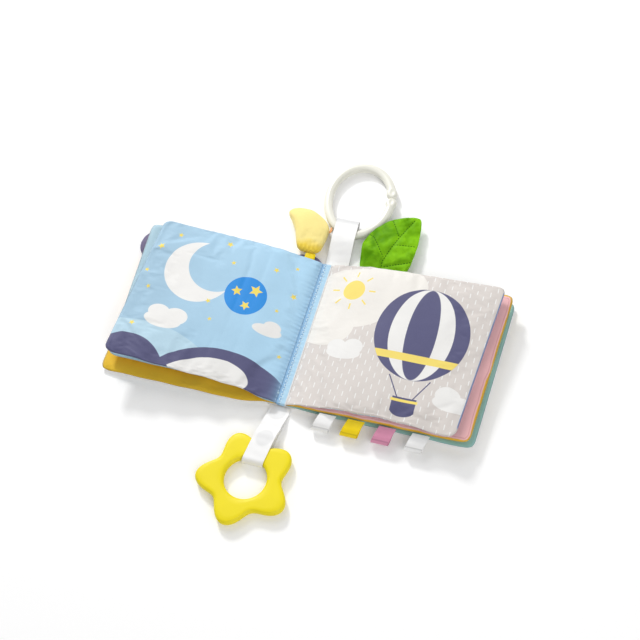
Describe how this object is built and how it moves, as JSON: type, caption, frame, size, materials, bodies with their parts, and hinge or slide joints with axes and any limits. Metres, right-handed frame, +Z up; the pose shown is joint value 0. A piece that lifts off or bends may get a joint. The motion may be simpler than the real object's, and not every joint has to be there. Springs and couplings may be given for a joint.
{
  "type": "crinkle cloth book",
  "caption": "Soft padded cloth book for babies, lying open, with a split carrier ring on a strap, a flower teether, a crinkle leaf flap, a stuffed charm and ribbon tags.",
  "frame": {"origin": "middle of the spine on the surface that the open book lies on", "axes": "+X across the open book to its right, +Y along the spine towards the carrier ring, +Z up"},
  "size_m": [0.2908, 0.3158, 0.0254],
  "materials": {
    "front_cover_leaf_upper": "printed satin-weave polyester",
    "front_cover_leaf_lower": "printed satin-weave polyester",
    "left_middle_leaf_upper": "printed satin-weave polyester",
    "left_middle_leaf_lower": "printed satin-weave polyester",
    "left_top_leaf_upper": "printed satin-weave polyester",
    "left_top_leaf_lower": "printed satin-weave polyester",
    "back_cover_leaf_upper": "printed satin-weave polyester",
    "back_cover_leaf_lower": "printed satin-weave polyester",
    "right_middle_leaf_upper": "printed satin-weave polyester",
    "right_middle_leaf_lower": "printed satin-weave polyester",
    "right_top_leaf_upper": "printed satin-weave polyester",
    "right_top_leaf_lower": "printed satin-weave polyester",
    "crinkle_film": "thin crackling film",
    "wadding": "soft fibre wadding",
    "cover_cloth": "woven polyester",
    "binding": "folded binding tape",
    "stitching": "sewing thread",
    "ear_cloth": "printed woven polyester",
    "white_satin": "satin ribbon",
    "yellow_satin": "satin ribbon",
    "mauve_satin": "satin ribbon",
    "charm_plush": "short-pile fleece",
    "orange_felt": "felt",
    "leaf_cloth": "quilted satin-weave polyester",
    "ring_plastic": "smooth moulded plastic",
    "flower_silicone": "matt silicone"
  },
  "bodies": {
    "spine": {"cover_spine_panel": "cover_cloth", "spine_binding": "binding", "spine_stitch_ridge": "stitching"},
    "front_cover_leaf": {"front_cover_leaf_upper_panel": "front_cover_leaf_upper", "front_cover_leaf_lower_panel": "front_cover_leaf_lower", "front_cover_leaf_crinkle_film": "crinkle_film", "front_cover_leaf_wadding": "wadding", "side_ear": "ear_cloth", "top_ear": "ear_cloth"},
    "left_middle_leaf": {"left_middle_leaf_upper_panel": "left_middle_leaf_upper", "left_middle_leaf_lower_panel": "left_middle_leaf_lower", "left_middle_leaf_crinkle_film": "crinkle_film", "left_middle_leaf_wadding": "wadding"},
    "left_top_leaf": {"left_top_leaf_upper_panel": "left_top_leaf_upper", "left_top_leaf_lower_panel": "left_top_leaf_lower", "left_top_leaf_crinkle_film": "crinkle_film", "left_top_leaf_wadding": "wadding"},
    "back_cover_leaf": {"back_cover_leaf_upper_panel": "back_cover_leaf_upper", "back_cover_leaf_lower_panel": "back_cover_leaf_lower", "back_cover_leaf_crinkle_film": "crinkle_film", "back_cover_leaf_wadding": "wadding"},
    "right_middle_leaf": {"right_middle_leaf_upper_panel": "right_middle_leaf_upper", "right_middle_leaf_lower_panel": "right_middle_leaf_lower", "right_middle_leaf_crinkle_film": "crinkle_film", "right_middle_leaf_wadding": "wadding"},
    "right_top_leaf": {"right_top_leaf_upper_panel": "right_top_leaf_upper", "right_top_leaf_lower_panel": "right_top_leaf_lower", "right_top_leaf_crinkle_film": "crinkle_film", "right_top_leaf_wadding": "wadding"},
    "charm": {"charm_front_shell": "charm_plush", "charm_back_shell": "charm_plush", "charm_stuffing": "wadding", "charm_stem": "yellow_satin", "charm_tab": "orange_felt"},
    "leaf_flap": {"leaf_flap_front_panel": "leaf_cloth", "leaf_flap_back_panel": "leaf_cloth", "leaf_flap_crinkle_film": "crinkle_film"},
    "carrier_strap": {"carrier_strap": "white_satin"},
    "carrier_ring": {"carrier_ring": "ring_plastic"},
    "teether_strap": {"teether_strap": "white_satin"},
    "flower_teether": {"flower_teether": "flower_silicone"},
    "tag_white_inner": {"tag_white_inner": "white_satin"},
    "tag_yellow": {"tag_yellow": "yellow_satin"},
    "tag_mauve": {"tag_mauve": "mauve_satin"},
    "tag_white_outer": {"tag_white_outer": "white_satin"}
  },
  "joints": [
    {"name": "front_cover_turn", "type": "hinge", "parent": "spine", "child": "front_cover_leaf", "pos_m": [-0.003, 0, 0.00345], "axis": [0, 1, 0], "range_deg": [0, 10]},
    {"name": "left_middle_turn", "type": "hinge", "parent": "front_cover_leaf", "child": "left_middle_leaf", "pos_m": [-0.003, 0, 0.00345], "axis": [0, 1, 0], "range_deg": [0, 10]},
    {"name": "left_top_turn", "type": "hinge", "parent": "left_middle_leaf", "child": "left_top_leaf", "pos_m": [-0.003, 0, 0.00345], "axis": [0, 1, 0], "range_deg": [0, 90]},
    {"name": "back_cover_turn", "type": "hinge", "parent": "spine", "child": "back_cover_leaf", "pos_m": [0.003, 0, 0.00345], "axis": [0, 1, 0], "range_deg": [-24, 0]},
    {"name": "right_middle_turn", "type": "hinge", "parent": "back_cover_leaf", "child": "right_middle_leaf", "pos_m": [0.003, 0, 0.00345], "axis": [0, 1, 0], "range_deg": [-24, 0]},
    {"name": "right_top_turn", "type": "hinge", "parent": "right_middle_leaf", "child": "right_top_leaf", "pos_m": [0.003, 0, 0.00345], "axis": [0, 1, 0], "range_deg": [-60, 0]},
    {"name": "charm_swing", "type": "hinge", "parent": "left_middle_leaf", "child": "charm", "pos_m": [-0.015, 0.06135, 0.00502], "axis": [-1, 0, 0], "range_deg": [-45, 0]},
    {"name": "carrier_strap_lift", "type": "hinge", "parent": "spine", "child": "carrier_strap", "pos_m": [0.0062, 0.06135, 0.0007], "axis": [-1, 0, 0], "range_deg": [-65, 0]},
    {"name": "leaf_flap_lift", "type": "hinge", "parent": "back_cover_leaf", "child": "leaf_flap", "pos_m": [0.0405, 0.06135, 0.00247], "axis": [-1, 0, 0], "range_deg": [-71, 0]},
    {"name": "carrier_ring_swivel", "type": "hinge", "parent": "carrier_strap", "child": "carrier_ring", "pos_m": [0.0104, 0.09175, 0.0036], "axis": [0, 0, 1], "range_deg": [-3, 4]},
    {"name": "teether_strap_lift", "type": "hinge", "parent": "spine", "child": "teether_strap", "pos_m": [0.0002, -0.06135, 0.0007], "axis": [-1, 0, 0], "range_deg": [0, 70]},
    {"name": "flower_swivel", "type": "hinge", "parent": "teether_strap", "child": "flower_teether", "pos_m": [-0.0067, -0.1008, 0.0037], "axis": [0, 0, 1], "range_deg": [-1, 8]},
    {"name": "tag_white_inner_flip", "type": "hinge", "parent": "right_middle_leaf", "child": "tag_white_inner", "pos_m": [0.0353, -0.06195, 0.00739], "axis": [-1, 0, 0], "range_deg": [-8, 45], "stiffness_Nm_per_rad": 0.0002},
    {"name": "tag_yellow_flip", "type": "hinge", "parent": "right_middle_leaf", "child": "tag_yellow", "pos_m": [0.0558, -0.06195, 0.0084], "axis": [-1, 0, 0], "range_deg": [-8, 45], "stiffness_Nm_per_rad": 0.0002},
    {"name": "tag_mauve_flip", "type": "hinge", "parent": "right_middle_leaf", "child": "tag_mauve", "pos_m": [0.078, -0.06195, 0.00862], "axis": [-1, 0, 0], "range_deg": [-8, 45], "stiffness_Nm_per_rad": 0.0002},
    {"name": "tag_white_outer_flip", "type": "hinge", "parent": "right_middle_leaf", "child": "tag_white_outer", "pos_m": [0.1014, -0.06195, 0.00888], "axis": [-1, 0, 0], "range_deg": [-8, 45], "stiffness_Nm_per_rad": 0.0002}
  ],
  "couplings": [
    {"joint": "leaf_flap_lift", "follows": "carrier_strap_lift", "ratio": 1.08}
  ]
}
